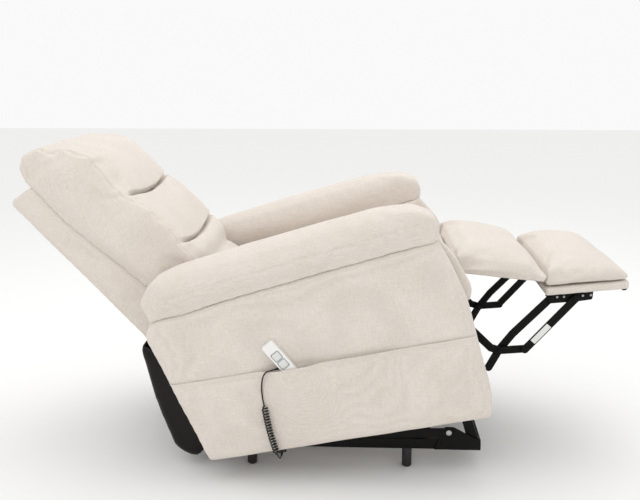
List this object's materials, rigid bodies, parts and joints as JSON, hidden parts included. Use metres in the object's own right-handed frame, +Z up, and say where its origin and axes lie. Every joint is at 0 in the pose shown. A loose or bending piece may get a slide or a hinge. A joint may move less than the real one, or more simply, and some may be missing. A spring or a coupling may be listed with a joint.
{
  "type": "lift recliner chair",
  "caption": "Upholstered power lift recliner chair on a steel lift base, tipped back with reclined back, extended footrest and wired handset in a side pocket.",
  "frame": {"origin": "on the floor, under the middle of the whole chair in its tipped, fully opened pose", "axes": "+X towards the footrest, +Y to the sitter's left, +Z up"},
  "size_m": [1.7281, 0.871, 0.9515],
  "materials": {
    "upholstery": "woven linen-look upholstery",
    "dust_cloth": "black woven dust cover",
    "black_steel": "black powder coat",
    "zinc_steel": "zinc plated",
    "rubber": "matt",
    "wood": "plywood",
    "black_plastic": "moulded",
    "white_plastic": "satin moulded",
    "button_plastic": "satin moulded",
    "lead_jacket": "satin"
  },
  "bodies": {
    "base": {"base_rail_left": "black_steel", "base_rail_right": "black_steel", "base_front_tube": "black_steel", "base_rear_tube": "black_steel", "base_upright_left": "black_steel", "base_upright_right": "black_steel", "base_pivot_plates": "black_steel", "base_feet": "rubber", "base_pins": "zinc_steel", "motor_bracket": "black_steel"},
    "lift_arms": {"lift_arm_left": "black_steel", "lift_arm_right": "black_steel", "lift_cross_tube": "black_steel", "lift_arm_pins": "zinc_steel"},
    "upper_links": {"upper_link_left": "black_steel", "upper_link_right": "black_steel"},
    "lift_motor": {"lift_motor": "black_plastic", "lift_motor_tube": "black_plastic"},
    "lift_rod": {"lift_rod": "zinc_steel"},
    "chair": {"side_panel_left": "upholstery", "side_panel_right": "upholstery", "inner_arm_panels": "upholstery", "arm_pad_left": "upholstery", "arm_pad_right": "upholstery", "side_boards": "wood", "lift_plates": "black_steel", "front_board": "upholstery", "rear_board": "wood", "mechanism_plates": "black_steel", "seat_springs": "zinc_steel", "seat_cushion": "upholstery", "rear_cover": "dust_cloth", "recline_pins": "zinc_steel", "pocket": "upholstery", "handset": "white_plastic", "handset_lead": "lead_jacket", "curly_lead": "lead_jacket", "lead_tail": "lead_jacket", "lead_socket": "black_plastic"},
    "back": {"back_frame": "upholstery", "head_cushion": "upholstery", "middle_cushion": "upholstery", "lower_cushion": "upholstery", "recline_brackets": "black_steel"},
    "calf": {"calf_pad": "upholstery"},
    "drive_links": {"drive_link_left": "black_steel", "drive_link_right": "black_steel", "drive_tube": "black_steel", "drive_rivets": "black_steel"},
    "long_links": {"long_link_left": "black_steel", "long_link_right": "black_steel"},
    "short_links": {"short_link_left": "black_steel", "short_link_right": "black_steel"},
    "footboard": {"foot_board": "upholstery", "foot_pad": "upholstery", "foot_bracket_left": "black_steel", "foot_bracket_right": "black_steel", "foot_rivets": "black_steel"},
    "button_up": {"button_up": "button_plastic"},
    "button_down": {"button_down": "button_plastic"}
  },
  "joints": [
    {"name": "lift", "type": "hinge", "parent": "base", "child": "lift_arms", "pos_m": [0.368, 0, 0.115], "axis": [0, 1, 0], "range_deg": [0, 48]},
    {"name": "chair_tilt", "type": "hinge", "parent": "lift_arms", "child": "chair", "pos_m": [0.0118, 0, 0.105], "axis": [0, 1, 0], "range_deg": [-15.76, 0]},
    {"name": "upper_link_swing", "type": "hinge", "parent": "base", "child": "upper_links", "pos_m": [0.4041, 0, 0.19], "axis": [0, 1, 0], "range_deg": [0, 54.02]},
    {"name": "motor_swing", "type": "hinge", "parent": "base", "child": "lift_motor", "pos_m": [-0.2276, 0, 0.1058], "axis": [0, 1, 0], "range_deg": [-9.14, 0]},
    {"name": "rod_extension", "type": "slide", "parent": "lift_motor", "child": "lift_rod", "axis": [0.9995, 0, 0.0322], "range_m": [0, 0.0431]},
    {"name": "recline", "type": "hinge", "parent": "chair", "child": "back", "pos_m": [-0.39997, 0, 0.34099], "axis": [0, 1, 0], "range_deg": [0, 28]},
    {"name": "footrest", "type": "hinge", "parent": "chair", "child": "drive_links", "pos_m": [0.34076, 0, 0.48845], "axis": [0, 1, 0], "range_deg": [0, 78.3]},
    {"name": "long_link_swing", "type": "hinge", "parent": "drive_links", "child": "long_links", "pos_m": [0.5114, 0, 0.34311], "axis": [0, 1, 0], "range_deg": [-65.59, 0]},
    {"name": "short_link_swing", "type": "hinge", "parent": "drive_links", "child": "short_links", "pos_m": [0.58172, 0, 0.34892], "axis": [0, 1, 0], "range_deg": [-66.88, 0]},
    {"name": "footboard_swing", "type": "hinge", "parent": "long_links", "child": "footboard", "pos_m": [0.65001, 0, 0.49796], "axis": [0, 1, 0], "range_deg": [0, 68.79]},
    {"name": "calf_swing", "type": "hinge", "parent": "chair", "child": "calf", "pos_m": [0.39995, 0, 0.56858], "axis": [0, 1, 0], "range_deg": [0, 72.5], "deforming": ["calf_pad"]},
    {"name": "button_up_press", "type": "slide", "parent": "chair", "child": "button_up", "axis": [0, 1, 0], "range_m": [0, 0.001], "stiffness_N_per_m": 400},
    {"name": "button_down_press", "type": "slide", "parent": "chair", "child": "button_down", "axis": [0, 1, 0], "range_m": [0, 0.001], "stiffness_N_per_m": 400}
  ],
  "couplings": [
    {"joint": "chair_tilt", "follows": "lift", "ratio": -0.318},
    {"joint": "upper_link_swing", "follows": "lift", "ratio": 1.115},
    {"joint": "motor_swing", "follows": "lift", "ratio": -0.18},
    {"joint": "rod_extension", "follows": "lift", "m_per_rad": 0.0502},
    {"joint": "long_link_swing", "follows": "footrest", "ratio": -0.83129},
    {"joint": "short_link_swing", "follows": "footrest", "ratio": -0.84777},
    {"joint": "footboard_swing", "follows": "footrest", "ratio": 0.87216},
    {"joint": "calf_swing", "follows": "footrest", "ratio": 0.91954}
  ]
}
